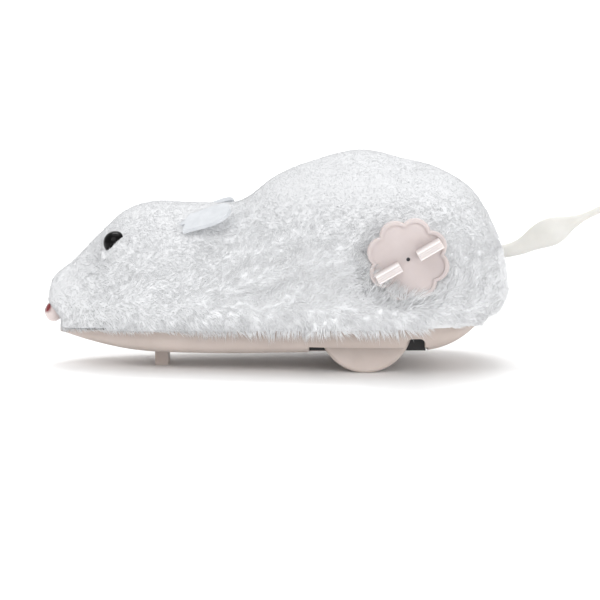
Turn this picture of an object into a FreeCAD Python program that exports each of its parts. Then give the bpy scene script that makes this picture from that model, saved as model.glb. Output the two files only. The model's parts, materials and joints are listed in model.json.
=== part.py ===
# Clockwork mouse: a wind-up toy with a plush skin over a moulded shell, a shallow moulded chassis,
# two drive wheels, a flower-shaped winding key on its left side and a soft tail that the motor whirls.
# Millimetres.  +X runs from nose to tail, +Y is the side away from the key, +Z is up.
# The origin is the centre of the front foot's resting face, on the floor and on the mid-plane.
import FreeCAD
import Part
import math
import os

Vector = FreeCAD.Vector
Y_AXIS = Vector(0, 1, 0)

# ---- driving dimensions -------------------------------------------------------------------------
WHEEL_RADIUS = 10.8
AXLE = (48.1, WHEEL_RADIUS)          # (x, z) of the drive axle
ARBOR = (57.3, 27.4)                 # (x, z) of the winding arbor, and the tail shaft's height
PARTING_FRONT = (-24.0, 9.0)         # (x, z) on the sloping parting plane, at the snout
PARTING_SLOPE = 0.028

PLUSH_OUTSIDE = 0.8                  # depths below the tips of the fur
PLUSH_INSIDE = 3.8
SHELL_OUTSIDE = 4.0
SHELL_INSIDE = 5.6
CHASSIS_WALL = 1.6

# (x, half width, top height) of the fur's outline, nose to rump
BODY = [
    (-26.8, 3.6, 18.6), (-25.6, 5.6, 21.2), (-21.0, 8.8, 25.0), (-15.0, 12.0, 31.0),
    (-9.0, 14.4, 36.5), (-2.0, 16.6, 38.7), (8.0, 18.6, 38.7), (18.0, 20.6, 38.8),
    (27.0, 22.6, 44.8), (36.0, 24.6, 48.6), (48.0, 26.2, 51.0), (58.0, 26.6, 48.9),
    (66.0, 25.4, 46.6), (73.5, 21.6, 41.8), (79.0, 15.0, 33.0), (81.8, 8.0, 23.6),
]
BODY_ROUNDNESS = 2.3

# (x, half width, underside height) of the chassis tub
TUB = [
    (-24.0, 3.2, 8.0), (-20.7, 6.6, 7.2), (-15.0, 9.8, 5.8), (-9.0, 11.8, 4.6),
    (-2.0, 13.8, 3.9), (8.0, 15.8, 3.7), (18.0, 17.6, 3.8), (27.0, 19.4, 4.1),
    (36.0, 21.2, 4.4), (47.0, 22.7, 4.6), (58.0, 23.0, 4.7), (65.0, 22.0, 5.6),
    (70.0, 19.0, 7.6), (73.5, 14.0, 9.9), (75.6, 8.0, 11.2),
]
TUB_SQUARENESS = 5.0
RIM = (0.6, 0.9)                     # how far the tub's rim stands out, and its height

FOOT = (3.1, 8.0)                    # the front foot, along X and Y
SCREW_R, HEAD_R, HEAD_H = 1.0, 1.9, 1.1
CASE_SCREWS = [(-5.0, 0.0), (67.0, -13.4), (67.0, 13.4)]
PILLARS = [(39.4, 14.6), (49.0, 36.2), (62.6, 12.6)]
MOTOR_FEET = [(39.0, -6.4), (39.0, 6.4), (61.0, -6.4), (61.0, 6.4)]

# ---- clockwork ----------------------------------------------------------------------------------
MODULE = 0.5
PRESSURE = math.radians(25)
ADDENDUM, DEDENDUM = 0.9 * MODULE, 1.1 * MODULE
BACKLASH = 0.12
GREAT_TEETH, PINION_TEETH, SECOND_TEETH, AXLE_TEETH = 32, 12, 26, 12
CROWN_TEETH, TAIL_TEETH = 26, 10
TAIL_ADDENDUM = 0.7 * MODULE
CROWN_FACE = 1.2                     # the crown ring's width, and the tail pinion's
CROWN_BACKLASH = 0.3

PLATE_Y, PLATE_T = 9.0, 1.2          # the motor plates' inner faces and thickness
PLATE_FLOOR = 7.0
SPRING_Y = (-8.4, -3.8)
SPRING_TURNS, SPRING_STRIP = 7, 0.28
SPRING_R = (2.2, 7.3)
DRUM_R = (7.8, 8.6)
GREAT_Y = (MODULE * TAIL_TEETH / 2 + DEDENDUM, 5.0)
RATCHET_Y = (5.15, 6.35)
RATCHET_R, RATCHET_TEETH, RATCHET_DEPTH = 3.4, 10, 0.7
CLICK_RIVET = (-5.0, RATCHET_R + 0.2)  # from the arbor
SECOND_Y = (6.7, 8.3)
ARBOR_R, JOURNAL_R, PIN_R, AXLE_R, SHAFT_R = 1.6, 1.25, 0.9, 1.0, 1.0
RUNNING = 0.05                       # radial clearance of a shaft that turns in a hole
SQUARE = 1.7                         # the arbor's square end

WHEEL_Y = (13.2, 17.2)
WHEEL_HUB_Y = 10.6
WHEEL_FACE = 0.9                     # plastic left outside the axle's ends
WELL_X = (34.9, 62.4)                # the wheel openings in the tub's floor and wall
WELL_Y = (12.5, 18.0)
WELL_TOP = 6.5
NOTCH_X, NOTCH_TOP, NOTCH_R = (57.2, 61.6), 8.7, 1.3
GUARD_X, GUARD_Z, GUARD_T = (35.1, 62.2), (4.7, 13.4), 0.4

KEY_Y = (-27.8, -26.2)               # the flower's outer and inner faces
PETALS, PETAL_TIP, PETAL_CUSP, PETAL_TURN = 8, 9.5, 8.2, math.radians(30)
PETAL_RIM = (1.0, 0.4)               # the width and height of the flower's raised rim
TAB_TOP, TAB_R, TAB_T = -34.8, (2.3, 8.3), 2.0
KEY_BORE_END = -26.9                 # the square bore's blind end; a small vent goes on outwards

EYE_R, EYE = 2.75, (-10.4, 8.6, 29.6)
EYE_LOOK = (-0.35, 0.86, 0.37)       # the way an eye faces, on the +Y side
NOSE_LENGTH, NOSE_R, NOSE = 4.2, 2.45, (-26.0, 0.0, 12.4)

EAR_ROOT = (6.6, 11.0, 33.8)         # the middle of the ear's front edge on the +Y side
EAR_LENGTH, EAR_WIDTH, EAR_T = 11.6, 7.8, 0.9
EAR_TONGUE = 4.0                     # the part that reaches forward into the plush
EAR_TILT, EAR_RISE, EAR_SPLAY = 30, 17, 20

# (x, z, height, width) of the tail's elliptical sections
TAIL = [
    (75.0, 27.4, 3.2, 3.2), (78.0, 27.3, 3.2, 3.2), (80.9, 26.8, 3.2, 3.2), (84.1, 27.4, 3.5, 3.2),
    (87.6, 29.1, 4.8, 3.6), (91.2, 30.9, 6.6, 4.2), (94.2, 32.1, 6.2, 4.0), (97.0, 33.4, 3.8, 3.0),
    (99.6, 34.6, 2.2, 2.2), (104.8, 37.0, 1.9, 1.9), (113.0, 39.8, 1.9, 1.9), (123.0, 41.0, 1.9, 1.9),
    (134.0, 39.2, 1.8, 1.8), (146.0, 34.6, 1.8, 1.8), (158.0, 29.2, 1.7, 1.7), (170.0, 25.0, 1.6, 1.6),
    (181.0, 23.2, 1.4, 1.4), (192.0, 23.8, 1.0, 1.0),
]
SHAFT_END = 78.8


# ---- small helpers ------------------------------------------------------------------------------
def cylinder(x, z, radius, y0, y1):
    """A cylinder along Y."""
    return Part.makeCylinder(radius, y1 - y0, Vector(x, y0, z), Y_AXIS)


def upright(x, y, radius, z0, z1):
    """A cylinder along Z."""
    return Part.makeCylinder(radius, z1 - z0, Vector(x, y, z0))


def box(x, y, z):
    """A box from three (low, high) pairs."""
    return Part.makeBox(x[1] - x[0], y[1] - y[0], z[1] - z[0], Vector(x[0], y[0], z[0]))


def fuse(shapes):
    return shapes[0].multiFuse(shapes[1:]).removeSplitter() if len(shapes) > 1 else shapes[0]


def mirrored(shape):
    return shape.mirror(Vector(0, 0, 0), Y_AXIS)


def parting(x):
    """Height of the plane where the shell meets the chassis."""
    return PARTING_FRONT[1] + (x - PARTING_FRONT[0]) * PARTING_SLOPE


def power(value, exponent):
    return math.copysign(abs(value) ** exponent, value)


def arch(x, half, height, squareness, base, below=0.0):
    """A closed wire across the body at x: half a superellipse on a straight base, up or down."""
    steps = 14
    points = []
    for i in range(steps + 1):
        t = math.pi * i / steps
        points.append(Vector(x, half * power(math.cos(t), 2 / squareness),
                             base + height * math.sin(t) ** (2 / squareness)))
    curve = Part.BSplineCurve()
    curve.interpolate(points)
    low = math.copysign(below, -height)
    corners = [points[-1], points[-1] + Vector(0, 0, low), points[0] + Vector(0, 0, low), points[0]]
    lines = [Part.LineSegment(a, b).toShape() for a, b in zip(corners, corners[1:]) if (b - a).Length > 1e-6]
    return Part.Wire([curve.toShape()] + lines)


def loft(wires):
    return Part.makeLoft(wires, True, False)


def body_solid(depth, below=0.0):
    """The body above the parting plane, its surface a depth below the tips of the fur."""
    middle = (BODY[0][0] + BODY[-1][0]) / 2
    shrink = 1 - 2 * depth / (BODY[-1][0] - BODY[0][0])
    wires = []
    for x, half, top in BODY:
        height = top - parting(x)
        at = middle + (x - middle) * shrink
        wires.append(arch(at, max(half - depth, 0.45 * half), max(height - depth, 0.45 * height),
                          BODY_ROUNDNESS, parting(at), below))
    return loft(wires)


# ---- body ---------------------------------------------------------------------------------------
def make_chassis():
    """The moulded tub, with its rim, foot, screw posts and wheel openings."""
    outer = loft([arch(x, half, low - parting(x), TUB_SQUARENESS, parting(x)) for x, half, low in TUB])
    inner = loft([arch(x, half - CHASSIS_WALL, low + CHASSIS_WALL - parting(x), TUB_SQUARENESS,
                       parting(x), 1.0)
                  for x, half, low in TUB[2:-2]])
    proud, deep = RIM
    rim_wires = []
    for x, half, low in TUB:
        wide, top = half + proud, parting(x)
        rim_wires.append(Part.makePolygon([Vector(x, wide, top), Vector(x, -wide, top),
                                           Vector(x, -wide, top - deep), Vector(x, wide, top - deep),
                                           Vector(x, wide, top)]))
    tub = fuse([outer, loft(rim_wires)]).cut(inner)

    foot = box((-FOOT[0] / 2, FOOT[0] / 2), (-FOOT[1] / 2, FOOT[1] / 2), (0, 5.0))
    posts = [upright(x, y, 2.6, 5.0, parting(x) - 0.1) for x, y in CASE_SCREWS]
    posts[0] = posts[0].cut(box((-9, -1), (-4, 4), (8.0, 12)))
    pads = [upright(x, y, 2.2, 4.8, PLATE_FLOOR) for x, y in MOTOR_FEET]
    tub = fuse([tub, foot] + [post.common(outer) for post in posts] + pads)

    cuts = []
    for side in (-1, 1):
        for x_span, top in ((WELL_X, WELL_TOP), (NOTCH_X, NOTCH_TOP)):
            well = box(x_span, (WELL_Y[0], 30), (0, top))
            if top == NOTCH_TOP:
                well = well.makeFillet(NOTCH_R, [e for e in well.Edges if is_top_edge_along_y(e, top)])
            cuts.append(well if side > 0 else mirrored(well))
        room = box((GUARD_X[0] - 0.1, GUARD_X[1] + 0.1), WELL_Y, (0, 24))
        cuts.append(room if side > 0 else mirrored(room))
    for x, y in CASE_SCREWS:
        low = head_seat(x, y)
        cuts += [upright(x, y, SCREW_R + 0.15, 0, 20), upright(x, y, HEAD_R + 0.25, 0, low)]
    for x, y in MOTOR_FEET:
        cuts.append(upright(x, y, SCREW_R, 4.9, 12))
    return tub.cut(Part.makeCompound(cuts))


def is_top_edge_along_y(edge, top):
    box_of_edge = edge.BoundBox
    return box_of_edge.YLength > 1 and abs(box_of_edge.ZMin - top) < 1e-6


def head_seat(x, y):
    """Height of the shoulder under a case screw's head."""
    return 6.3 if x < 0 else 8.2


def make_body_shell():
    """The moulded upper shell, with posts for the case screws and its openings."""
    shell = body_solid(SHELL_OUTSIDE).cut(body_solid(SHELL_INSIDE, 2.0))
    core = body_solid(SHELL_OUTSIDE + 0.6)
    posts = []
    for x, y in CASE_SCREWS:
        foot = 8.1 if x < 0 else parting(x)
        post = upright(x, y, 2.3, foot, 48)
        trimmed = post.common(core)
        if x < 0:
            trimmed = fuse([trimmed, upright(x, y, 2.3, foot, parting(x) + 0.5)])
        posts.append(trimmed)
    shell = fuse([shell] + posts)
    holes = [upright(x, y, SCREW_R, 0, 18) for x, y in CASE_SCREWS]
    holes.append(cylinder(ARBOR[0], ARBOR[1], 3.6, -30, -12))
    holes.append(Part.makeCylinder(2.6, 12, Vector(72, 0, ARBOR[1]), Vector(1, 0, 0)))
    holes += [eye_stem(side, 0.85) for side in (-1, 1)]
    holes.append(nose_stem(1.05))
    return shell.cut(Part.makeCompound(holes))


def make_plush_cover(ears):
    """The plush skin, drawn as a plain thick layer from its backing to the fur's mean surface."""
    cover = body_solid(PLUSH_OUTSIDE).cut(body_solid(PLUSH_INSIDE, 2.0))
    holes = [cylinder(ARBOR[0], ARBOR[1], 3.8, -30, -12),
             Part.makeCylinder(3.9, 14, Vector(74, 0, ARBOR[1]), Vector(1, 0, 0)),
             nose_stem(1.2)]
    holes += [eye_ball(side, EYE_R + 0.1) for side in (-1, 1)]
    holes += [eye_stem(side, 0.9) for side in (-1, 1)]
    lift = box((-30, 90), (-40, 40), (0, 0.1))
    lift.rotate(Vector(0, 0, 0), Y_AXIS, -math.degrees(math.atan(PARTING_SLOPE)))
    lift.translate(Vector(0, 0, parting(0)))
    cover = cover.cut(Part.makeCompound(holes)).cut(lift)
    cover = cover.cut(nose_bead(0.1))
    for ear in ears:
        cover = cover.cut(ear)
    return largest(cover)


def largest(shape):
    return max(shape.Solids, key=lambda s: s.Volume)


def eye_point(side, along=0.0):
    """A point on the eye's own axis, its centre plus a distance outwards."""
    look = Vector(EYE_LOOK[0], EYE_LOOK[1] * side, EYE_LOOK[2]).normalize()
    return Vector(EYE[0], EYE[1] * side, EYE[2]) + look * along, look


def eye_ball(side, radius):
    return Part.makeSphere(radius, eye_point(side)[0])


def eye_stem(side, radius, length=9.0):
    start, look = eye_point(side, -EYE_R + 0.5)
    return Part.makeCylinder(radius, length, start, look * -1)


def make_eye(side):
    """A round bead with a moulded stem that presses into the shell."""
    return fuse([eye_ball(side, EYE_R), eye_stem(side, 0.85, 4.6)])


def nose_stem(radius, length=8.0):
    return Part.makeCylinder(radius, length, Vector(NOSE[0] + 1.0, 0, NOSE[2]), Vector(1, 0, 0))


def nose_bead(extra=0.0):
    """The nose's egg shape, turned about its axis along X."""
    x, y, z = NOSE
    reach, radius = NOSE_LENGTH / 2 + extra, NOSE_R + extra
    turns = [math.pi * i / 8 for i in range(9)]
    half = [Vector(x + reach * math.cos(t), y, z + radius * math.sin(t)) for t in turns]
    curve = Part.BSplineCurve()
    curve.interpolate(Points=half, InitialTangent=Vector(0, 0, 1), FinalTangent=Vector(0, 0, -1))
    outline = Part.Wire([curve.toShape(), Part.LineSegment(half[-1], half[0]).toShape()])
    return Part.Face(outline).revolve(Vector(x, y, z), Vector(1, 0, 0), 360)


def make_nose():
    return fuse([nose_bead(), nose_stem(1.0, 5.6)])


def make_ear(side):
    """A flat felt flap with a blunt round tip and, inside, a tongue held in a slit in the plush."""
    half, inner = EAR_WIDTH / 2, -0.88 * EAR_WIDTH / 2
    corners = [(0, inner), (EAR_LENGTH * 0.45, -half), (EAR_LENGTH * 0.88, -half * 0.78), (EAR_LENGTH, 0),
               (EAR_LENGTH * 0.88, half * 0.78), (EAR_LENGTH * 0.45, half), (0, half * 0.95)]
    outline = [Vector(u, v, 0) for u, v in corners]
    curve = Part.BSplineCurve()
    curve.interpolate(outline)
    tongue = [outline[-1], Vector(0, 0.6, 0), Vector(-EAR_TONGUE, -0.4, 0), Vector(-EAR_TONGUE, inner, 0),
              outline[0]]
    lines = [Part.LineSegment(a, b).toShape() for a, b in zip(tongue, tongue[1:])]
    flap = Part.Face(Part.Wire([curve.toShape()] + lines)).extrude(Vector(0, 0, EAR_T))
    flap.rotate(Vector(0, 0, 0), Vector(1, 0, 0), -EAR_TILT)
    flap.rotate(Vector(0, 0, 0), Y_AXIS, -EAR_RISE)
    flap.rotate(Vector(0, 0, 0), Vector(0, 0, 1), EAR_SPLAY)
    flap.translate(Vector(*EAR_ROOT))
    return flap if side > 0 else mirrored(flap)


# ---- fasteners ----------------------------------------------------------------------------------
def make_case_screws():
    """Three self-tapping screws that hold the chassis to the shell, heads down."""
    screws = []
    for x, y in CASE_SCREWS:
        seat = head_seat(x, y)
        head = upright(x, y, HEAD_R, seat - HEAD_H, seat)
        slot = box((x - 0.25, x + 0.25), (y - 3, y + 3), (seat - HEAD_H, seat - HEAD_H + 0.5))
        slots = slot.fuse(box((x - 3, x + 3), (y - 0.25, y + 0.25), (seat - HEAD_H, seat - HEAD_H + 0.5)))
        screws.append(fuse([head, upright(x, y, SCREW_R, seat - 0.2, 17.5)]).cut(slots.common(
            upright(x, y, 1.2, 0, 20))))
    return Part.makeCompound(screws)


def make_motor_screws():
    """Four short screws that hold the motor's feet to the chassis pads."""
    screws = []
    for x, y in MOTOR_FEET:
        top = PLATE_FLOOR + PLATE_T
        head = upright(x, y, 1.7, top, top + 0.9)
        slot = box((x - 0.22, x + 0.22), (y - 3, y + 3), (top + 0.5, top + 2))
        screws.append(fuse([head, upright(x, y, SCREW_R, 4.95, top + 0.1)]).cut(slot))
    return Part.makeCompound(screws)


# ---- clockwork ----------------------------------------------------------------------------------
def meeting_point(a, b, reach_a, reach_b):
    """The (x, z) point at the given distances from a and b, on the side nearer the nose."""
    dx, dz = b[0] - a[0], b[1] - a[1]
    d = math.hypot(dx, dz)
    along = (reach_a ** 2 - reach_b ** 2 + d * d) / (2 * d)
    aside = math.sqrt(reach_a ** 2 - along ** 2)
    return (a[0] + (along * dx + aside * dz) / d, a[1] + (along * dz - aside * dx) / d)


def direction(a, b):
    """Angle from a to b in the X-Z plane."""
    return math.atan2(b[1] - a[1], b[0] - a[0])


SECOND = meeting_point(ARBOR, AXLE, MODULE * (GREAT_TEETH + PINION_TEETH) / 2,
                       MODULE * (SECOND_TEETH + AXLE_TEETH) / 2)


def involute(angle):
    return math.tan(angle) - angle


def gear_outline(teeth, phase, backlash=BACKLASH, addendum=ADDENDUM):
    """(u, v) corners of a spur gear's outline, with a tooth centred on the phase angle."""
    pitch = MODULE * teeth / 2
    base = pitch * math.cos(PRESSURE)
    half = (math.pi * MODULE / 2 - backlash) / (2 * pitch) + involute(PRESSURE)
    root, tip = pitch - DEDENDUM, pitch + addendum
    flank = [(root, half - (0 if root < base else involute(math.acos(base / root))))]
    low = max(root, base)
    for i in range(4):
        r = low + (tip - low) * i / 3
        if r > root + 1e-6:
            flank.append((r, half - involute(math.acos(min(1.0, base / r)))))
    points = []
    for k in range(teeth):
        centre = phase + 2 * math.pi * k / teeth
        for r, a in flank:
            points.append((r * math.cos(centre - a), r * math.sin(centre - a)))
        for r, a in reversed(flank):
            points.append((r * math.cos(centre + a), r * math.sin(centre + a)))
    return points


def gear(place, teeth, phase, y0, y1, bore=None):
    """A spur gear about an axis along Y."""
    corners = [Vector(place[0] + u, y0, place[1] + v) for u, v in gear_outline(teeth, phase)]
    solid = Part.Face(Part.makePolygon(corners + corners[:1])).extrude(Vector(0, y1 - y0, 0))
    return solid.cut(cylinder(*place, bore, y0 - 1, y1 + 1)) if bore else solid


def make_winding_arbor():
    """The steel arbor: a square end for the key, a journal at each plate and a thick middle."""
    inner = PLATE_Y - 0.1
    parts = [cylinder(*ARBOR, JOURNAL_R, -PLATE_Y - PLATE_T - 0.6, PLATE_Y + PLATE_T + 0.3),
             cylinder(*ARBOR, ARBOR_R, -inner, inner),
             box((ARBOR[0] - SQUARE / 2, ARBOR[0] + SQUARE / 2), (KEY_BORE_END + 0.1, -PLATE_Y - PLATE_T),
                 (ARBOR[1] - SQUARE / 2, ARBOR[1] + SQUARE / 2))]
    return fuse(parts)


def make_ratchet_wheel():
    """Saw teeth pressed on the arbor, one step for each tooth."""
    points = []
    for k in range(RATCHET_TEETH):
        a0 = 2 * math.pi * k / RATCHET_TEETH
        a1 = a0 + 2 * math.pi * 0.94 / RATCHET_TEETH
        for r, a in ((RATCHET_R - RATCHET_DEPTH, a0), (RATCHET_R, a1)):
            points.append(Vector(ARBOR[0] + r * math.cos(a), RATCHET_Y[0], ARBOR[1] + r * math.sin(a)))
    solid = Part.Face(Part.makePolygon(points + points[:1])).extrude(
        Vector(0, RATCHET_Y[1] - RATCHET_Y[0], 0))
    return solid.cut(cylinder(*ARBOR, ARBOR_R, 4, 8))


def make_click_spring():
    """A steel leaf riveted to the great wheel, lying across the tips of the ratchet's teeth."""
    y0, y1 = RATCHET_Y
    x, z = CLICK_RIVET
    height = RATCHET_R + 0.06
    leaf = box((ARBOR[0] + x, ARBOR[0] + 1.0), (y0, y1), (ARBOR[1] + height, ARBOR[1] + height + 0.3))
    rivet = cylinder(ARBOR[0] + x, ARBOR[1] + z, 0.9, GREAT_Y[1], y1)
    stem = cylinder(ARBOR[0] + x, ARBOR[1] + z, 0.5, GREAT_Y[0] + 0.5, GREAT_Y[1] + 0.1)
    return fuse([leaf, rivet, stem])


def make_great_wheel():
    """Spur teeth outside for the drive train and a ring of crown teeth on one face for the tail."""
    y0, y1 = GREAT_Y
    wheel = gear(ARBOR, GREAT_TEETH, direction(ARBOR, SECOND), y0, y1, ARBOR_R + RUNNING)
    wheel = wheel.cut(cylinder(ARBOR[0] + CLICK_RIVET[0], ARBOR[1] + CLICK_RIVET[1], 0.5, 0, 9))
    return fuse([wheel] + crown_teeth(y0))


def crown_teeth(y_root):
    """Rack-shaped teeth standing on the wheel's face, one of them at the tail pinion."""
    radius = MODULE * CROWN_TEETH / 2
    mid = math.pi * MODULE / 4 - CROWN_BACKLASH / 4
    y_pitch = y_root - DEDENDUM
    wide_root = mid + DEDENDUM * math.tan(PRESSURE)
    wide_tip = mid - ADDENDUM * math.tan(PRESSURE)
    teeth = []
    for k in range(CROWN_TEETH):
        r0 = radius - CROWN_FACE / 2
        corners = [Vector(r0, y_root + 0.3, -wide_root), Vector(r0, y_root, -wide_root),
                   Vector(r0, y_pitch - ADDENDUM, -wide_tip), Vector(r0, y_pitch - ADDENDUM, wide_tip),
                   Vector(r0, y_root, wide_root), Vector(r0, y_root + 0.3, wide_root)]
        tooth = Part.Face(Part.makePolygon(corners + corners[:1])).extrude(Vector(CROWN_FACE, 0, 0))
        tooth.rotate(Vector(0, 0, 0), Y_AXIS, 360.0 * k / CROWN_TEETH)
        tooth.translate(Vector(ARBOR[0], 0, ARBOR[1]))
        teeth.append(tooth)
    return teeth


def make_second_gear():
    """The moulded pinion and wheel that turn together between the great wheel and the axle."""
    small = gear(SECOND, PINION_TEETH, direction(SECOND, ARBOR) + math.pi / PINION_TEETH, 2.7, SECOND_Y[0])
    large = gear(SECOND, SECOND_TEETH, direction(SECOND, AXLE), *SECOND_Y)
    return fuse([small, large]).cut(cylinder(*SECOND, PIN_R + RUNNING, 0, 10))


def make_axle_pinion():
    return gear(AXLE, AXLE_TEETH, direction(AXLE, SECOND) + math.pi / AXLE_TEETH, 6.5, 8.5, AXLE_R)


def make_tail_pinion():
    """A slim pinion about the tail shaft, with a gap facing the crown ring."""
    x0 = ARBOR[0] + MODULE * CROWN_TEETH / 2 - CROWN_FACE / 2
    outline = gear_outline(TAIL_TEETH, math.pi / TAIL_TEETH, CROWN_BACKLASH, TAIL_ADDENDUM)
    corners = [Vector(x0, u, ARBOR[1] + v) for u, v in outline]
    solid = Part.Face(Part.makePolygon(corners + corners[:1])).extrude(Vector(CROWN_FACE, 0, 0))
    return solid.cut(Part.makeCylinder(SHAFT_R, 6, Vector(x0 - 2, 0, ARBOR[1]), Vector(1, 0, 0)))


def make_tail_shaft():
    x0 = ARBOR[0] + MODULE * CROWN_TEETH / 2 - CROWN_FACE / 2 - 0.4
    return Part.makeCylinder(SHAFT_R, SHAFT_END - x0, Vector(x0, 0, ARBOR[1]), Vector(1, 0, 0))


def make_tail_bearing():
    """The cross block between the plates that the tail shaft turns in."""
    block = box((66.3, 69.0), (-PLATE_Y, PLATE_Y), (ARBOR[1] - 2.2, ARBOR[1] + 2.2))
    return block.cut(Part.makeCylinder(SHAFT_R + RUNNING, 8, Vector(64, 0, ARBOR[1]), Vector(1, 0, 0)))


def make_mainspring():
    """A flat spiral strip between the arbor and the drum's wall."""
    def spiral(offset):
        steps = 20 * SPRING_TURNS
        points = []
        for i in range(steps + 1):
            a = 2 * math.pi * SPRING_TURNS * i / steps
            r = SPRING_R[0] + (SPRING_R[1] - SPRING_R[0]) * i / steps + offset
            points.append(Vector(ARBOR[0] + r * math.cos(a), SPRING_Y[0], ARBOR[1] + r * math.sin(a)))
        curve = Part.BSplineCurve()
        curve.interpolate(points)
        return curve.toShape(), points[0], points[-1]

    low, low_start, low_end = spiral(-SPRING_STRIP / 2)
    high, high_start, high_end = spiral(SPRING_STRIP / 2)
    ends = [Part.LineSegment(low_end, high_end).toShape(), Part.LineSegment(high_start, low_start).toShape()]
    wire = Part.Wire(Part.__sortEdges__([low, ends[0], high, ends[1]]))
    return Part.Face(wire).extrude(Vector(0, SPRING_Y[1] - SPRING_Y[0], 0))


def plate_outline(y0):
    """The motor plates' outline, a rounded panel round the arbor, second pin and axle."""
    corners = [(36.6, PLATE_FLOOR), (36.6, 14.0), (41.0, 28.0), (46.0, 36.5), (51.0, 39.0),
               (58.0, 38.4), (64.5, 34.5), (69.2, 29.0), (69.2, 15.0), (63.2, PLATE_FLOOR)]
    return [Vector(x, y0, z) for x, z in corners]


def make_motor_plate(side):
    """A side plate with its two feet; the key side also carries the spring drum."""
    inner, outer = PLATE_Y, PLATE_Y + PLATE_T
    corners = plate_outline(inner)
    parts = [Part.Face(Part.makePolygon(corners + corners[:1])).extrude(Vector(0, PLATE_T, 0))]
    for x, y in MOTOR_FEET:
        if y > 0:
            foot = (PLATE_FLOOR, PLATE_FLOOR + PLATE_T)
            parts.append(box((x - 2.2, x + 2.2), (y - 2.2, inner + 0.2), foot))
    plate = fuse(parts)
    cuts = [cylinder(*ARBOR, JOURNAL_R + RUNNING, 5, 15), cylinder(*AXLE, AXLE_R + RUNNING, 5, 15),
            cylinder(*SECOND, PIN_R, 5, 15)]
    cuts += [upright(x, y, SCREW_R + 0.1, 0, 12) for x, y in MOTOR_FEET if y > 0]
    cuts += [cylinder(x, z, 1.0, 5, 15) for x, z in PILLARS]
    plate = plate.cut(Part.makeCompound(cuts))
    if side > 0:
        return plate
    plate = mirrored(plate)
    drum = cylinder(*ARBOR, DRUM_R[1], -PLATE_Y - 0.1, SPRING_Y[1] + 0.2)
    drum = drum.cut(cylinder(*ARBOR, DRUM_R[0], -PLATE_Y - 1, SPRING_Y[1] + 1))
    return fuse([plate, drum])


def make_frame_pillars():
    """Three turned pillars with thin ends that are riveted over in the plates."""
    pillars = []
    for x, z in PILLARS:
        pillars.append(fuse([cylinder(x, z, 1.6, -PLATE_Y, PLATE_Y),
                             cylinder(x, z, 1.0, -PLATE_Y - PLATE_T - 0.2, PLATE_Y + PLATE_T + 0.2)]))
    return Part.makeCompound(pillars)


def make_second_pin():
    reach = PLATE_Y + PLATE_T + 0.1
    return cylinder(*SECOND, PIN_R, -reach, reach)


# ---- running gear, key and tail -----------------------------------------------------------------
def make_dust_guard(side):
    """A thin shield bonded to the inner edge of a wheel opening, between wheel and clockwork."""
    y0 = WELL_Y[0]
    guard = box(GUARD_X, (y0, y0 + GUARD_T), GUARD_Z).cut(cylinder(*AXLE, 3.1, y0 - 1, y0 + 1))
    return guard if side > 0 else mirrored(guard)


def make_drive_axle():
    """The steel axle, pressed into a blind bore in each wheel."""
    return cylinder(*AXLE, AXLE_R, -WHEEL_Y[1] + WHEEL_FACE, WHEEL_Y[1] - WHEEL_FACE)


def make_wheel(side):
    """A moulded disc with a rounded tread edge, a plain outer face and a hub towards the motor."""
    x, z = AXLE
    y0, y1 = WHEEL_Y
    disc = cylinder(x, z, WHEEL_RADIUS, y0, y1)
    disc = disc.makeFillet(0.9, [e for e in disc.Edges if abs(e.Length - 2 * math.pi * WHEEL_RADIUS) < 0.01])
    hollow = cylinder(x, z, 8.6, y0 - 1, y0 + 2.4).cut(cylinder(x, z, 2.8, y0 - 2, y1))
    hub = cylinder(x, z, 2.8, WHEEL_HUB_Y, y0 + 0.1)
    wheel = fuse([disc.cut(hollow), hub]).cut(cylinder(x, z, AXLE_R, 0, y1 - WHEEL_FACE))
    return wheel if side > 0 else mirrored(wheel)


def flower(inset, y0, y1):
    """A plate with the flower's outline, smaller by an inset all round."""
    x, z = ARBOR
    step = 2 * math.pi / PETALS
    edges = []
    for k in range(PETALS):
        mid = PETAL_TURN + k * step
        ring = [(PETAL_CUSP, mid - step / 2), (PETAL_TIP, mid), (PETAL_CUSP, mid + step / 2)]
        points = []
        for r, t in ring:
            points.append(Vector(x + (r - inset) * math.cos(t), y0, z + (r - inset) * math.sin(t)))
        edges.append(Part.Arc(*points).toShape())
    return Part.Face(Part.Wire(edges)).extrude(Vector(0, y1 - y0, 0))


def make_winding_key():
    """A flower of eight petals with a raised rim, two finger tabs outside and a hub inside."""
    x, z = ARBOR
    rim, height = PETAL_RIM
    plate = flower(0, *KEY_Y)
    plate = plate.makeFillet(0.45, [e for e in plate.Edges if e.BoundBox.YLength < 1e-6
                                    and abs(e.BoundBox.YMin - KEY_Y[0]) < 1e-6])
    plate = plate.cut(flower(rim, KEY_Y[0] - 1, KEY_Y[0] + height))
    parts = [plate, cylinder(x, z, 3.0, KEY_Y[1] - 0.1, -22.4)]
    for turn in (0, math.pi):
        tab = box(TAB_R, (TAB_TOP, KEY_Y[0] + height + 0.2), (-TAB_T / 2, TAB_T / 2))
        tab = tab.makeFillet(0.35, [e for e in tab.Edges if e.BoundBox.YMax < KEY_Y[0]])
        grooves = [box((0, 12), (TAB_TOP - 1, TAB_TOP + 0.3), (v - 0.12, v + 0.12)) for v in (-0.45, 0, 0.45)]
        tab = tab.cut(Part.makeCompound(grooves))
        tab.rotate(Vector(0, 0, 0), Y_AXIS, -math.degrees(PETAL_TURN + turn))
        tab.translate(Vector(x, 0, z))
        parts.append(tab)
    half = SQUARE / 2 + 0.02
    bore = box((x - half, x + half), (KEY_BORE_END, -20), (z - half, z + half))
    return fuse(parts).cut(bore).cut(cylinder(x, z, 0.45, KEY_Y[0] - 1, KEY_BORE_END + 0.1))


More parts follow.
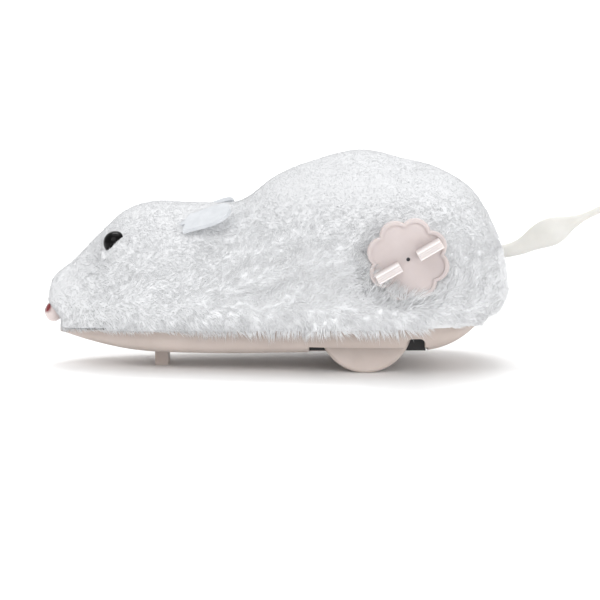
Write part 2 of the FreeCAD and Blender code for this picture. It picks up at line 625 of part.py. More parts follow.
def make_tail():
    """A soft moulded tail: a socket on the shaft, a leaf-shaped swelling and a long thin whip."""
    wires = []
    for i, (x, z, tall, wide) in enumerate(TAIL):
        before, after = TAIL[max(i - 1, 0)], TAIL[min(i + 1, len(TAIL) - 1)]
        along = Vector(after[0] - before[0], 0, after[1] - before[1]).normalize()
        if i == 0:
            along = Vector(1, 0, 0)
        curve = Part.Ellipse(Vector(0, 0, 0), max(tall, wide + 1e-3) / 2, wide / 2)
        matrix = FreeCAD.Matrix(-along.z, 0, along.x, x, 0, 1, 0, 0, along.x, 0, along.z, z, 0, 0, 0, 1)
        wires.append(Part.Wire([curve.toShape().transformGeometry(matrix)]))
    tail = loft(wires)
    return tail.cut(Part.makeCylinder(SHAFT_R, SHAFT_END - 74, Vector(74, 0, ARBOR[1]), Vector(1, 0, 0)))


# ---- build --------------------------------------------------------------------------------------
def all_nodes():
    ears = {"ear_left": make_ear(-1), "ear_right": make_ear(1)}
    return {
        "chassis": make_chassis(),
        "body_shell": make_body_shell(),
        "plush_cover": make_plush_cover(ears.values()),
        **ears,
        "eye_left": make_eye(-1),
        "eye_right": make_eye(1),
        "nose": make_nose(),
        "case_screws": make_case_screws(),
        "motor_screws": make_motor_screws(),
        "motor_plate_left": make_motor_plate(-1),
        "motor_plate_right": make_motor_plate(1),
        "frame_pillars": make_frame_pillars(),
        "tail_bearing": make_tail_bearing(),
        "second_pin": make_second_pin(),
        "dust_guard_left": make_dust_guard(-1),
        "dust_guard_right": make_dust_guard(1),
        "mainspring": make_mainspring(),
        "winding_key": make_winding_key(),
        "winding_arbor": make_winding_arbor(),
        "ratchet_wheel": make_ratchet_wheel(),
        "great_wheel": make_great_wheel(),
        "click_spring": make_click_spring(),
        "second_gear": make_second_gear(),
        "drive_axle": make_drive_axle(),
        "axle_pinion": make_axle_pinion(),
        "wheel_left": make_wheel(-1),
        "wheel_right": make_wheel(1),
        "tail_shaft": make_tail_shaft(),
        "tail_pinion": make_tail_pinion(),
        "tail": make_tail(),
    }


def main():
    os.makedirs("parts", exist_ok=True)
    for name, shape in all_nodes().items():
        shape.exportStep(os.path.join("parts", name + ".step"))
        print(f"{name}: {len(shape.Solids)} solids, {shape.Volume:.1f} mm3, valid {shape.isValid()}")


main()
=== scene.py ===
import json
import math

import bpy
import numpy as np
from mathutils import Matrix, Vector
from mathutils.kdtree import KDTree


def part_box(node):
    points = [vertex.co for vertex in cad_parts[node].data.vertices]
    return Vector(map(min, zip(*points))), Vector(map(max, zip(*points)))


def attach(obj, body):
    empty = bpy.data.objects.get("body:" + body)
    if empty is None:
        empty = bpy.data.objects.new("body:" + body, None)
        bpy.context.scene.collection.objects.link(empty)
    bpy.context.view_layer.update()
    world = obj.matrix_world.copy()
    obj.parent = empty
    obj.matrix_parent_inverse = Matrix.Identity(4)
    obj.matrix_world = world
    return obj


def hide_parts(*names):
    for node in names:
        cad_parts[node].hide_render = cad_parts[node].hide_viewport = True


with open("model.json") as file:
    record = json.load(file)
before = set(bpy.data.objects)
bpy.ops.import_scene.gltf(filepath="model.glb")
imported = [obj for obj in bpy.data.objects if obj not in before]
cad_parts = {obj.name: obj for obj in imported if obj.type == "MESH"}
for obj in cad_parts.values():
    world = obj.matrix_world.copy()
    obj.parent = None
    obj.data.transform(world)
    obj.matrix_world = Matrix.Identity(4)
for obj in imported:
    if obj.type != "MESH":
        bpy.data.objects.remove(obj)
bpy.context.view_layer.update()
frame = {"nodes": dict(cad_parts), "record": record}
MM = 0.001
rng = np.random.default_rng(7)

# ---- places taken from the CAD frame ------------------------------------------------------------
joints = {j["name"]: j for j in frame["record"]["behaviour"]["joints"]}
ARBOR = np.array(joints["key_wind"]["pos_m"]) / MM
TAIL_AXIS = np.array(joints["tail_spin"]["pos_m"]) / MM
EYE_CENTRES = [np.array([-10.4, side * 8.6, 29.6]) for side in (-1, 1)]
EYE_RADIUS = 2.75
SHORT_PILE_SHADE_TONE, LONG_TONE = 0.675, 0.96    # brightness of the plush where its pile is short and long; the short-pile tone is darkened as painted shade on the strongly lit head and back
HAIRS, QUICK_HAIRS, TUFT = 160000, 50000, 16
PIECES = 8


# ---- materials ----------------------------------------------------------------------------------
def new_material(name):
    m = bpy.data.materials.new(name)
    m.use_nodes = True
    nodes = m.node_tree.nodes
    return m, m.node_tree, nodes["Principled BSDF"]


def add(tree, kind, **inputs):
    node = tree.nodes.new(kind)
    for key, value in inputs.items():
        node.inputs[key.replace("_", " ")].default_value = value
    return node


def object_coords(tree):
    return add(tree, "ShaderNodeTexCoord").outputs["Object"]


def axes(tree, coords):
    """The X, Y and Z outputs of a place."""
    split = add(tree, "ShaderNodeSeparateXYZ")
    tree.links.new(coords, split.inputs["Vector"])
    return split.outputs


def span(tree, value, start, end, least=0.0):
    """A value that goes from least to 1 as the given one goes from start to end, in metres."""
    node = add(tree, "ShaderNodeMapRange", From_Min=start, From_Max=end, To_Min=least)
    tree.links.new(value, node.inputs["Value"])
    return node.outputs["Result"]


def combined(tree, operation, a, b):
    """Two values added or multiplied."""
    node = add(tree, "ShaderNodeMath")
    node.operation = operation
    tree.links.new(a, node.inputs[0])
    tree.links.new(b, node.inputs[1])
    return node.outputs["Value"]


def colour_between(tree, shader, value, start, first, end, last):
    """Base colour that goes from the first tone to the last as a value goes from start to end."""
    ramp = add(tree, "ShaderNodeValToRGB")
    for element, position, tone in zip(ramp.color_ramp.elements, (start, end), (first, last)):
        element.position = position
        element.color = (*tone, 1)
    tree.links.new(value, ramp.inputs["Fac"])
    tree.links.new(ramp.outputs["Color"], shader.inputs["Base Color"])


def noise_value(tree, coords, scale, detail, roughness=0.6):
    noise = add(tree, "ShaderNodeTexNoise", Scale=scale, Detail=detail, Roughness=roughness)
    tree.links.new(coords, noise.inputs["Vector"])
    return noise.outputs["Fac"]


def noise_colour(tree, shader, coords, scale, dark, light, detail=4.0):
    """Base colour that wanders between two tones."""
    colour_between(tree, shader, noise_value(tree, coords, scale, detail), 0.35, dark, 0.65, light)


def noise_bump(tree, shader, coords, scale, depth_mm, strength=0.5, detail=3.0):
    bump = add(tree, "ShaderNodeBump", Strength=strength, Distance=depth_mm * MM)
    tree.links.new(noise_value(tree, coords, scale, detail), bump.inputs["Height"])
    tree.links.new(bump.outputs["Normal"], shader.inputs["Normal"])


def noise_roughness(tree, shader, coords, scale, low, high):
    spread = add(tree, "ShaderNodeMapRange", To_Min=low, To_Max=high)
    tree.links.new(noise_value(tree, coords, scale, 3.0, 0.5), spread.inputs["Value"])
    tree.links.new(spread.outputs["Result"], shader.inputs["Roughness"])


def plastic(name, dark, light, rough=(0.35, 0.5), mottling=90.0, bump=0.03, bump_scale=900.0,
            subsurface=0.0):
    """Moulded plastic: faint mottling, uneven gloss and a very fine grain."""
    m, tree, shader = new_material(name)
    coords = object_coords(tree)
    noise_colour(tree, shader, coords, mottling, dark, light)
    noise_roughness(tree, shader, coords, mottling * 2, *rough)
    noise_bump(tree, shader, coords, bump_scale, bump)
    shader.inputs["IOR"].default_value = 1.49
    if subsurface:
        shader.inputs["Subsurface Weight"].default_value = subsurface
        shader.inputs["Subsurface Radius"].default_value = (0.004, 0.003, 0.002)
        shader.inputs["Subsurface Scale"].default_value = 0.5
    return m


def metal(name, dark, light, rough=(0.25, 0.4), stretch=(1, 1, 1)):
    """Stamped or turned metal with a drawn grain."""
    m, tree, shader = new_material(name)
    coords = object_coords(tree)
    mapping = add(tree, "ShaderNodeMapping")
    mapping.inputs["Scale"].default_value = stretch
    tree.links.new(coords, mapping.inputs["Vector"])
    noise_colour(tree, shader, mapping.outputs["Vector"], 400.0, dark, light)
    noise_roughness(tree, shader, mapping.outputs["Vector"], 900.0, *rough)
    noise_bump(tree, shader, mapping.outputs["Vector"], 1500.0, 0.02, 0.3)
    shader.inputs["Metallic"].default_value = 1.0
    return m


def fabric(name, dark, light, scale, depth, sheen):
    """Felt: matt, with a matted fibre relief."""
    m, tree, shader = new_material(name)
    coords = object_coords(tree)
    noise_colour(tree, shader, coords, scale * 0.4, dark, light, 6.0)
    noise_bump(tree, shader, coords, scale, depth, 0.7, 6.0)
    shader.inputs["Roughness"].default_value = 0.95
    shader.inputs["Sheen Weight"].default_value = sheen
    shader.inputs["Sheen Roughness"].default_value = 0.5
    return m


def backing():
    """The plush's under-pile: a matted grain, with painted shade darkening the strongly lit head and crest
    of the back, and paler low on the flanks where the pile is long.
    """
    m, tree, shader = new_material("plush_backing")
    coords = object_coords(tree)
    place = axes(tree, coords)
    shaggy = combined(tree, "MULTIPLY", span(tree, place["X"], 4 * MM, 30 * MM, 0.35),
                      span(tree, place["Z"], 42 * MM, 22 * MM))
    grain = add(tree, "ShaderNodeMapRange", To_Min=-0.14, To_Max=0.14)
    tree.links.new(noise_value(tree, coords, 900.0, 5.0), grain.inputs["Value"])
    total = combined(tree, "ADD", shaggy, grain.outputs["Result"])
    # painted shade: darker where the pile is short, on the head and the crest of the back, to hold down the
    # strong top light there
    colour_between(tree, shader, total, 0.0, tint(SHORT_PILE_SHADE_TONE), 1.0, tint(LONG_TONE))
    noise_bump(tree, shader, coords, 2200.0, 0.1, 0.6, 5.0)
    shader.inputs["Roughness"].default_value = 0.95
    shader.inputs["Specular IOR Level"].default_value = 0.2
    return m


def tint(tone):
    """A faintly cool white of the given brightness."""
    return tone - 0.006, tone, tone + 0.012


def fibre(name, tone):
    """A strand of pile."""
    m, _, shader = new_material(name)
    shader.inputs["Base Color"].default_value = (*tint(tone), 1)
    shader.inputs["Roughness"].default_value = 0.65
    shader.inputs["Specular IOR Level"].default_value = 0.25
    return m


def key_material():
    """Pink-white plastic with painted light: paler toward the finger tabs' outer ends, which stand furthest
    out, as if lit more strongly there.
    """
    m = plastic("key_plastic", (0.55, 0.485, 0.475), (0.61, 0.545, 0.535), (0.3, 0.42), subsurface=0.1)
    tree, shader = m.node_tree, m.node_tree.nodes["Principled BSDF"]
    face = shader.inputs["Base Color"].links[0].from_socket
    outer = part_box("winding_key")[0].y
    # painted light: the colour blends to a paler tone over the last millimetres of the tabs, standing for
    # the stronger light on their outer ends
    painted_light_outward = span(tree, axes(tree, object_coords(tree))["Y"], outer + 6.0 * MM, outer + 1.0 * MM)
    blend = add(tree, "ShaderNodeMix")
    blend.data_type = "RGBA"
    first, second = [socket for socket in blend.inputs if socket.type == "RGBA"]
    result = next(socket for socket in blend.outputs if socket.type == "RGBA")
    tree.links.new(painted_light_outward, blend.inputs["Factor"])
    tree.links.new(face, first)
    # the paler painted-light tone of the tab ends
    second.default_value = (0.80, 0.75, 0.74, 1)
    tree.links.new(result, shader.inputs["Base Color"])
    return m


def nose_material():
    """Pink-red plastic: dark red on the front upper part, pale pink elsewhere, lightened there as a painted
    highlight for the glare on the glossy nose.
    """
    m, tree, shader = new_material("nose_red_with_painted_highlight")
    coords = object_coords(tree)
    place = axes(tree, coords)
    low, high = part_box("nose")
    centre = (low.z + high.z) / 2
    front = span(tree, place["X"], low.x + 2.3 * MM, low.x + 0.6 * MM)
    up = span(tree, place["Z"], centre - 0.6 * MM, centre + 1.1 * MM)
    red_front_mask = combined(tree, "MULTIPLY", front, up)
    # the pale tone over the rest of the nose is partly its own pale pink and partly a painted highlight
    colour_between(tree, shader, red_front_mask, 0.12, (0.72, 0.62, 0.60), 0.5, (0.20, 0.015, 0.02))
    noise_bump(tree, shader, coords, 500.0, 0.03, 0.3)
    shader.inputs["Roughness"].default_value = 0.18
    shader.inputs["Coat Weight"].default_value = 0.6
    return m


def dress(nodes, material):
    """Gives carried-over CAD nodes their material."""
    for node in nodes:
        for slot in frame["nodes"][node].material_slots:
            slot.link = "OBJECT"
            slot.material = material


# ---- the body's surface -------------------------------------------------------------------------
# (x, half width, top) of the outline at the tips of the fur, nose to rump, in millimetres
BODY = np.array([
    (-27.3, 0.3, 14.5), (-27.2, 2.2, 16.6), (-26.8, 4.0, 18.6), (-25.6, 6.2, 21.2), (-21.0, 9.0, 25.0),
    (-15.0, 12.0, 31.0), (-9.0, 14.4, 36.5), (-2.0, 16.6, 38.7), (8.0, 18.6, 38.7), (18.0, 20.6, 38.8),
    (27.0, 22.6, 44.8), (36.0, 24.6, 48.6), (48.0, 26.2, 51.0), (58.0, 26.6, 48.9), (66.0, 25.4, 46.6),
    (73.5, 21.6, 41.8), (79.0, 15.0, 33.0), (81.6, 8.6, 23.6), (82.1, 4.2, 18.0), (82.2, 0.3, 14.0),
])
ROUNDNESS = 2.3                  # 2 is an ellipse; more is squarer
PARTING_X, PARTING_Z, PARTING_SLOPE = -24.0, 9.0, 0.028
RUMP_TUCK, CHIN_TUCK = 3.6, 3.0  # how far the lower edge is drawn in
LID_HEIGHT = 1.8
ROWS, AROUND = 380, 220
SKIN_THICKNESS = 1.0
HUB_HOLE, TAIL_HOLE = 3.6, 2.3   # radii of the holes in the skin
TAIL_ROOM = 2.6                  # radius kept clear of hairs round the tail
RUFF_RISE = 2.8                  # how far the hairs under the key stand out


def parting(x):
    """Height of the line where the plush meets the chassis."""
    return PARTING_Z + (x - PARTING_X) * PARTING_SLOPE


def smooth_rows(rows, count):
    """Rows along a cubic through the given rows, evenly spaced by length along the outline."""
    chord = np.sqrt(np.linalg.norm(np.diff(rows, axis=0), axis=1))
    knots = np.concatenate([[0], np.cumsum(chord)])
    slope = np.gradient(rows, knots, axis=0)
    fine = np.linspace(0, knots[-1], 1200)
    i = np.clip(np.searchsorted(knots, fine) - 1, 0, len(rows) - 2)
    h = (knots[i + 1] - knots[i])[:, None]
    u = (fine - knots[i])[:, None] / h
    curve = ((2 * u**3 - 3 * u**2 + 1) * rows[i] + (u**3 - 2 * u**2 + u) * h * slope[i]
             + (3 * u**2 - 2 * u**3) * rows[i + 1] + (u**3 - u**2) * h * slope[i + 1])
    length = np.concatenate([[0], np.cumsum(np.linalg.norm(np.diff(curve, axis=0), axis=1))])
    at = np.linspace(0, length[-1], count)
    return np.stack([np.interp(at, length, curve[:, k]) for k in range(3)], axis=1)


def body_grid(rows_count, around):
    """Points of the body's outer surface: one row for each station, right lower edge to left."""
    rows = smooth_rows(BODY, rows_count)
    t = np.linspace(0, math.pi, around)
    c, s = np.cos(t), np.sin(t)
    wide = np.sign(c) * np.abs(c) ** (2 / ROUNDNESS)
    tall = np.abs(s) ** (2 / ROUNDNESS)
    x = np.repeat(rows[:, :1], around, axis=1)
    y = rows[:, 1:2] * wide
    base = parting(rows[:, 0])[:, None]
    z = base + (rows[:, 2:3] - base) * tall
    tuck = RUMP_TUCK * step(x, 73, 82) * (1 - np.clip((z - base) / 6.5, 0, 1)) ** 2
    chin = CHIN_TUCK * (1 - step(x, -27.5, -14)) * (1 - step(z - base, 1.5, 6.8))
    return np.stack([x - tuck + chin, y, z], axis=2)


def step(values, low, high):
    """0 below low, 1 above high and smooth between."""
    u = np.clip((values - low) / (high - low), 0, 1)
    return u * u * (3 - 2 * u)


def with_lids(grid, normals):
    """The surface with the plush drawn up over the lower rear part of each eye."""
    raised = grid.copy()
    for centre in EYE_CENTRES:
        away = grid - centre
        across = away @ np.array([0.64, 0.0, -0.77])
        reach = np.linalg.norm(away, axis=2)
        height = LID_HEIGHT * step(across, 0.4, 1.1) * (1 - step(reach, 3.3, 5.8))
        raised += normals * height[..., None]
    return raised


def grid_normals(grid):
    """Outward normals of a grid of points."""
    du = np.gradient(grid, axis=0)
    dv = np.gradient(grid, axis=1)
    n = np.cross(du, dv)
    n /= np.linalg.norm(n, axis=2, keepdims=True) + 1e-12
    centre = np.array([28.0, 0.0, 20.0])
    flip = np.sum(n * (grid - centre), axis=2, keepdims=True) < 0
    return np.where(flip, -n, n)


def wander(points, size, seed, layers=6):
    """Smooth random values from -1 to 1 that change over the given size."""
    r = np.random.default_rng(seed)
    total = np.zeros(len(points))
    for _ in range(layers):
        way = r.normal(size=3)
        way /= np.linalg.norm(way)
        total += np.sin(points @ way * (2 * math.pi / size) * r.uniform(0.6, 1.5) + r.uniform(0, 6.28))
    return np.clip(total / math.sqrt(layers), -1, 1)


OUTER = body_grid(ROWS, AROUND)
OUTER = with_lids(OUTER, grid_normals(OUTER))
NORMALS = grid_normals(OUTER)


def long_pile(points):
    """How long the pile is: 0 on the crest of the back, rising down the flanks to 1, or less on the head."""
    x, z = points[..., 0], points[..., 2]
    back = 0.12 + 0.23 * step(x, -24, -12) + 0.65 * np.clip((x - 4) / 26, 0, 1)
    low = np.clip((42 - z) / 20, 0, 1)
    return back * low


def ruff(points):
    """1 in the fluffed-up band under the key, 0 elsewhere."""
    x, y, z = points[..., 0], points[..., 1], points[..., 2]
    along, above = x - ARBOR[0], z - ARBOR[2]
    band = 1 - np.clip(np.abs(np.hypot(along, above) - 10.0) / 3.2, 0, 1)
    return band * step(-above - 0.35 * along, 2.0, 7.0) * (y < 0)


def pile(points):
    """Height and reach of the pile at points of the outer surface, in millimetres."""
    shaggy, fluff = long_pile(points), ruff(points)
    return 0.4 + 0.6 * shaggy, 0.6 + 1.5 * shaggy + 2.0 * fluff


def relief(points):
    """How far tufts stand out or sink, in millimetres; they run back and upwards on the flanks."""
    flat = points.reshape(-1, 3)
    along = (flat[:, 0] + flat[:, 2]) / math.sqrt(2)
    across = (flat[:, 2] - flat[:, 0]) / math.sqrt(2)
    turned = np.stack([along * 0.45, flat[:, 1] * 0.8, across], axis=1)
    waves = 0.6 * wander(turned, 3.4, 21, 9) + 0.4 * wander(turned, 1.7, 22, 9)
    broad = wander(flat, 16.0, 23)
    depth = 0.03 + 0.22 * long_pile(flat)
    return (waves * depth + 0.12 * broad).reshape(points.shape[:-1])


def combed(points, normals):
    """Which way the pile lies: back, up the flanks, and down at the lower edge but hardly on the rump."""
    x, y, z = points.T
    edge = np.clip((17 - z) / 5, 0, 1)
    flank = long_pile(points) * (1 - edge)
    rear = np.clip((x - 74) / 8, 0, 1)
    back = 1.0 - 0.3 * flank - 0.4 * edge - 0.5 * rear
    out = 0.12 * np.sign(y) * (1 - flank)
    up = -0.05 + 0.6 * flank - 0.9 * edge * (1 - rear) - 0.3 * rear + 1.2 * ruff(points)
    way = np.stack([back, out, up], axis=1)
    turn = 0.4 * wander(points, 14.0, 3) + 0.45 * wander(points, 4.0, 4)
    side = np.cross(normals, way)
    way = way + side * turn[:, None]
    way[:, 2] = np.where(x > 66, np.maximum(way[:, 2], -0.15), way[:, 2])
    way -= normals * np.sum(way * normals, axis=1, keepdims=True)
    return way / (np.linalg.norm(way, axis=1, keepdims=True) + 1e-9)


# ---- skin ---------------------------------------------------------------------------------------
def mesh_object(name, points, faces):
    mesh = bpy.data.meshes.new(name)
    mesh.from_pydata(points, [], faces)
    mesh.validate()
    mesh.shade_smooth()
    obj = bpy.data.objects.new(name, mesh)
    bpy.context.scene.collection.objects.link(obj)
    return obj


def make_skin():
    """The plush's matted under-pile, with holes for the key's hub and the tail."""
    depth = 0.14 + 0.42 * long_pile(OUTER)
    points = OUTER + NORMALS * (relief(OUTER) - depth)[..., None]
    rows, around = points.shape[:2]
    flat = points.reshape(-1, 3)
    i, j = np.meshgrid(np.arange(rows - 1), np.arange(around - 1), indexing="ij")
    corner = (i * around + j).ravel()
    faces = np.stack([corner, corner + around, corner + around + 1, corner + 1], axis=1)
    middle = flat[faces].mean(axis=1)
    keep = ~in_openings(middle, 0.0) & (middle[:, 2] > parting(middle[:, 0]) + 0.3)
    skin = mesh_object("plush_skin", (flat * MM).tolist(), faces[keep].tolist())
    thick = skin.modifiers.new("thickness", "SOLIDIFY")
    thick.thickness = SKIN_THICKNESS * MM
    thick.offset = 1.0
    return skin


def in_openings(points, margin):
    """Is a point in the hole for the key's hub or for the tail?"""
    from_hub = np.hypot(points[:, 0] - ARBOR[0], points[:, 2] - ARBOR[2])
    hub = (from_hub < HUB_HOLE + margin) & (points[:, 1] < 0)
    tail = (np.hypot(points[:, 1], points[:, 2] - TAIL_AXIS[2]) < TAIL_HOLE + margin) & (points[:, 0] > 70)
    return hub | tail


# ---- pile ---------------------------------------------------------------------------------------
def scatter(count):
    """Random places on the outer surface, even by area, with their normals."""
    a = OUTER[:-1, :-1]
    area = 0.5 * np.linalg.norm(np.cross(OUTER[1:, 1:] - a, OUTER[:-1, 1:] - OUTER[1:, :-1]), axis=2)
    chance = (area / area.sum()).ravel()
    cell = rng.choice(len(chance), count, p=chance)
    i, j = np.unravel_index(cell, area.shape)
    u, v = rng.random((2, count, 1))

    def mix(values):
        low = values[i, j] * (1 - v) + values[i, j + 1] * v
        high = values[i + 1, j] * (1 - v) + values[i + 1, j + 1] * v
        return low * (1 - u) + high * u

    normals = mix(NORMALS)
    normals /= np.linalg.norm(normals, axis=1, keepdims=True)
    return mix(OUTER), normals


def nearest(points, centres):
    """Index of the nearest centre to each point, found through a kd-tree."""
    tree = KDTree(len(centres))
    for k, c in enumerate(centres):
        tree.insert(c, k)
    tree.balance()
    return np.array([tree.find(p)[1] for p in points])


def fringe(points):
    """1 along the lower edge, where the pile is longer, less at the front and 0 on the rump."""
    x, z = points[:, 0], points[:, 2]
    return np.clip((13.5 - z) / 2.5, 0, 1) * np.clip(0.45 + (x - 2) / 14, 0.45, 1) * (1 - step(x, 64, 73))


def hair_lines(points, normals, tufts, tuft_normals, group):
    """Root, middle and tip of each hair: its own way, drawn part of the way to its tuft's."""
    total = len(points)
    height, reach = pile(points)
    reach = reach + 1.3 * fringe(points)
    rise = RUFF_RISE * ruff(points)
    tuft_height, tuft_reach = pile(tufts)
    tuft_rise = RUFF_RISE * ruff(tufts)
    tuft_out = tuft_height * rng.uniform(0.7, 1.3, len(tufts)) + tuft_rise
    tuft_along = tuft_reach * rng.uniform(0.75, 1.25, len(tufts))
    tuft_way = tuft_normals * tuft_out[:, None] + combed(tufts, tuft_normals) * tuft_along[:, None]

    length = rng.uniform(0.7, 1.15, total)
    stray = rng.random(total) < 0.02
    loose = rng.normal(size=(total, 3)) * (0.14 * reach)[:, None]
    root = points + normals * (relief(points) - height - 0.3)[:, None]
    tip = root + normals * ((height + rise) * length + 0.3)[:, None] + loose
    tip += combed(points, normals) * (reach * length)[:, None]
    tip = np.where(stray[:, None], tip + normals * (0.35 * reach)[:, None], tip)
    hold = np.where(stray, 0.0, rng.uniform(0.15, 0.6, total)) * (0.35 + 0.65 * long_pile(points))
    gathered = root + tuft_way[group] + (tufts[group] - points) * 0.5
    tip = tip * (1 - hold[:, None]) + gathered * hold[:, None]
    middle = root + normals * (0.75 * height + 0.4 * rise)[:, None] + (tip - root) * 0.38
    return root, middle, tip


def clear_hairs(points, root, middle, tip):
    """Which hairs stay out of the holes, the eyes, the nose, the tail and the space below the rump."""
    clear = ~in_openings(points, 0.2)
    clear &= (tip[:, 0] < 64) | (tip[:, 2] > parting(tip[:, 0]) - 0.5)
    for centre in EYE_CENTRES:
        for p in (root, middle, tip):
            clear &= np.linalg.norm(p - centre, axis=1) > EYE_RADIUS + 0.1
    nose_low, nose_high = [np.array(c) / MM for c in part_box("nose")]
    nose = np.array([nose_low[0] + 2.1, 0.0, (nose_low[2] + nose_high[2]) / 2])
    for p in (middle, tip):
        clear &= np.linalg.norm((p - nose) / np.array([2.3, 2.6, 2.6]), axis=1) > 1.0
        clear &= (np.hypot(p[:, 1], p[:, 2] - TAIL_AXIS[2]) > TAIL_ROOM) | (p[:, 0] < 76)
    return clear


def make_pile(total):
    """All the hairs of the plush, gathered in loose tufts and sorted by tone into one piece each."""
    points, normals = scatter(total)
    tufts, tuft_normals = scatter(total // TUFT)
    group = nearest(points, tufts)
    lines = hair_lines(points, normals, tufts, tuft_normals, group)
    keep = np.flatnonzero(clear_hairs(points, *lines))
    root, middle, tip = [p[keep] for p in lines]
    points, normals, group = points[keep], normals[keep], group[keep]
    shaggy = long_pile(points)
    thicker = math.sqrt(HAIRS / total)
    radius = (0.048 + 0.022 * shaggy) * rng.uniform(0.8, 1.25, len(keep)) * thicker

    # painted shade: strands where the pile is short, on the head and back, get the darker tone
    tone = SHORT_PILE_SHADE_TONE + (LONG_TONE - SHORT_PILE_SHADE_TONE) * shaggy ** 0.7
    tone += 0.008 * wander(points, 6.0, 11) + 0.012 * rng.normal(size=len(tufts))[group]
    tone = np.clip(tone, 0.0, 0.97)
    made = []
    for k, members in enumerate(np.array_split(np.argsort(tone), PIECES)):
        obj = strands(f"pile_{k + 1}", root[members], middle[members], tip[members], normals[members],
                      radius[members])
        obj.data.materials.append(fibre(f"pile_fibre_{k + 1}", float(tone[members].mean())))
        made.append(obj)
    return made


def strands(name, root, middle, tip, normals, radius):
    """Thin three-sided hairs from root to tip, bent at the middle."""
    count = len(root)
    rings = []
    for centre, along, share in ((root, middle - root, 1.0), (middle, tip - root, 0.8)):
        side = np.cross(along, normals)
        side /= np.linalg.norm(side, axis=1, keepdims=True) + 1e-9
        up = np.cross(side, along)
        up /= np.linalg.norm(up, axis=1, keepdims=True) + 1e-9
        for k in range(3):
            a = 2 * math.pi * k / 3 + math.pi / 2
            rings.append(centre + (side * math.cos(a) + up * math.sin(a)) * (radius * share)[:, None])
    points = np.stack(rings + [tip], axis=1).reshape(-1, 3) * MM
    first = np.arange(count)[:, None] * 7
    quads = np.concatenate([first + np.array([[k, (k + 1) % 3, 3 + (k + 1) % 3, 3 + k]]) for k in range(3)])
    caps = np.concatenate([first + np.array([[3 + k, 3 + (k + 1) % 3, 6]]) for k in range(3)])
    mesh = bpy.data.meshes.new(name)
    mesh.vertices.add(len(points))
    mesh.vertices.foreach_set("co", points.astype(np.float32).ravel())
    loops = np.concatenate([quads.ravel(), caps.ravel()])
    mesh.loops.add(len(loops))
    mesh.loops.foreach_set("vertex_index", loops.astype(np.int32))
    sizes = np.concatenate([np.full(len(quads), 4), np.full(len(caps), 3)])
    mesh.polygons.add(len(sizes))
    mesh.polygons.foreach_set("loop_start", (np.cumsum(sizes) - sizes).astype(np.int32))
    mesh.update(calc_edges=True)
    mesh.shade_smooth()
    obj = bpy.data.objects.new(name, mesh)
    bpy.context.scene.collection.objects.link(obj)
    return obj


# ---- put it together ----------------------------------------------------------------------------
felt = fabric("ear_felt", (0.57, 0.59, 0.615), (0.64, 0.66, 0.685), 900.0, 0.12, 0.1)
shell_plastic = plastic("shell_plastic", (0.018, 0.018, 0.02), (0.03, 0.03, 0.033))
chassis_plastic = plastic("chassis_plastic", (0.51, 0.435, 0.395), (0.58, 0.50, 0.46), subsurface=0.1)
wheel_plastic = plastic("wheel_plastic", (0.56, 0.485, 0.445), (0.64, 0.56, 0.52), (0.3, 0.42),
                        subsurface=0.1)
tail_vinyl = plastic("tail_vinyl", (0.60, 0.59, 0.56), (0.66, 0.65, 0.62), (0.5, 0.65),
                     mottling=150.0, bump=0.05, bump_scale=500.0, subsurface=0.15)
eye_black = plastic("eye_black", (0.003, 0.003, 0.003), (0.006, 0.005, 0.005), (0.04, 0.08),
                    mottling=200.0, bump=0.003, bump_scale=300.0)
eye_black.node_tree.nodes["Principled BSDF"].inputs["Specular IOR Level"].default_value = 0.12
gear_nylon = plastic("gear_nylon", (0.76, 0.74, 0.68), (0.84, 0.82, 0.77), (0.4, 0.55))
# painted shade: near-black steel for the motor plates and the winding arbor, so the inside seen through the
# chassis's gaps and the key's hub reads dark
painted_shade_steel = metal("steel_dark_as_painted_shade", (0.05, 0.05, 0.055), (0.09, 0.09, 0.095), stretch=(1, 1, 12))
turned = metal("turned_steel", (0.48, 0.48, 0.49), (0.62, 0.62, 0.63), (0.18, 0.3), (1, 14, 1))
spring_blue = metal("spring_steel", (0.16, 0.18, 0.24), (0.26, 0.28, 0.34))
brass = metal("brass", (0.55, 0.40, 0.16), (0.72, 0.55, 0.24))

dress(["chassis"], chassis_plastic)
dress(["body_shell", "dust_guard_left", "dust_guard_right"], shell_plastic)
dress(["eye_left", "eye_right"], eye_black)
dress(["nose"], nose_material())
dress(["wheel_left", "wheel_right"], wheel_plastic)
dress(["winding_key"], key_material())
dress(["tail"], tail_vinyl)
dress(["ear_left", "ear_right"], felt)
dress(["great_wheel", "second_gear", "tail_bearing"], gear_nylon)
dress(["motor_plate_left", "motor_plate_right", "winding_arbor"], painted_shade_steel)
dress(["frame_pillars", "second_pin", "ratchet_wheel", "drive_axle", "tail_shaft"], turned)
dress(["case_screws", "motor_screws"], turned)
dress(["mainspring", "click_spring"], spring_blue)
dress(["axle_pinion", "tail_pinion"], brass)

skin = make_skin()
skin.data.materials.append(backing())
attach(skin, "mouse")
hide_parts("plush_cover")
for piece in make_pile(HAIRS):
    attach(piece, "mouse")


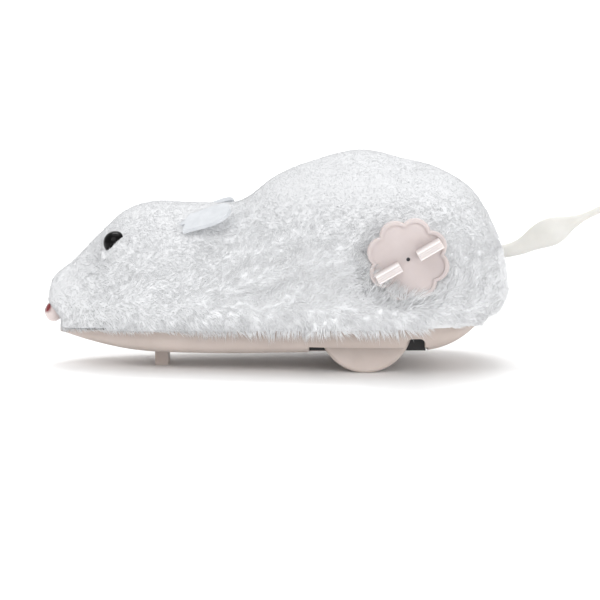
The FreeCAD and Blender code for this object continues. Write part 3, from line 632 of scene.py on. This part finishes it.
# ---- stage, light and camera --------------------------------------------------------------------
def make_floor():
    """A floor that curves up into a backdrop."""
    profile = [(-1.2, 0.0), (0.5, 0.0)]
    bend = np.linspace(0.1, math.pi / 2, 14)
    profile += [(0.5 + 0.5 * math.sin(a), 0.5 - 0.5 * math.cos(a)) for a in bend]
    profile += [(1.0, 1.6)]
    points, faces = [], []
    for y, z in profile:
        points += [(-2.0, y, z), (2.0, y, z)]
    for k in range(len(profile) - 1):
        faces.append((2 * k, 2 * k + 1, 2 * k + 3, 2 * k + 2))
    floor = mesh_object("floor", points, faces)
    m, tree, shader = new_material("floor_paper")
    coords = object_coords(tree)
    noise_colour(tree, shader, coords, 30.0, (0.92, 0.92, 0.92), (0.94, 0.94, 0.94))
    shader.inputs["Roughness"].default_value = 0.7
    shader.inputs["Specular IOR Level"].default_value = 0.2
    floor.data.materials.append(m)


def area_light(name, place, target, size, power):
    light = bpy.data.lights.new(name, "AREA")
    light.shape = "DISK"
    light.size = size
    light.energy = power
    obj = bpy.data.objects.new(name, light)
    obj.location = place
    obj.rotation_euler = (Vector(target) - Vector(place)).to_track_quat("-Z", "Y").to_euler()
    bpy.context.scene.collection.objects.link(obj)


make_floor()
AIM = (0.033, 0.0, 0.02)
area_light("key_light", (-0.15, -0.65, 0.6), AIM, 0.7, 2.3)
area_light("fill_light", (0.6, -0.7, 0.22), AIM, 0.7, 3.2)
area_light("top_light", (0.05, 0.1, 0.9), AIM, 0.9, 2.2)
area_light("catch_light", (-0.35, -0.6, 0.5), (-0.01, -0.01, 0.03), 0.05, 0.25)
area_light("backdrop_light", (0.0, 0.35, 0.9), (0.0, 1.0, 0.45), 0.6, 8.0)

world = bpy.data.worlds.new("studio")
world.use_nodes = True
world.node_tree.nodes["Background"].inputs["Color"].default_value = (1, 1, 1, 1)
world.node_tree.nodes["Background"].inputs["Strength"].default_value = 0.6
bpy.context.scene.world = world
bpy.context.scene.view_settings.view_transform = "Standard"

DISTANCE, ELEVATION = 0.5, math.radians(6.5)
WIDTH = 0.1434    # what the camera takes in at the object
LOOK_AT = Vector((0.0329, 0.0, 0.0151))
camera_data = bpy.data.cameras.new("camera")
camera_data.sensor_width = 36.0
camera_data.lens = camera_data.sensor_width * DISTANCE / WIDTH
camera = bpy.data.objects.new("camera", camera_data)
camera.location = LOOK_AT + Vector((0, -math.cos(ELEVATION), math.sin(ELEVATION))) * DISTANCE
camera.rotation_euler = (LOOK_AT - camera.location).to_track_quat("-Z", "Y").to_euler()
bpy.context.scene.collection.objects.link(camera)
bpy.context.scene.camera = camera
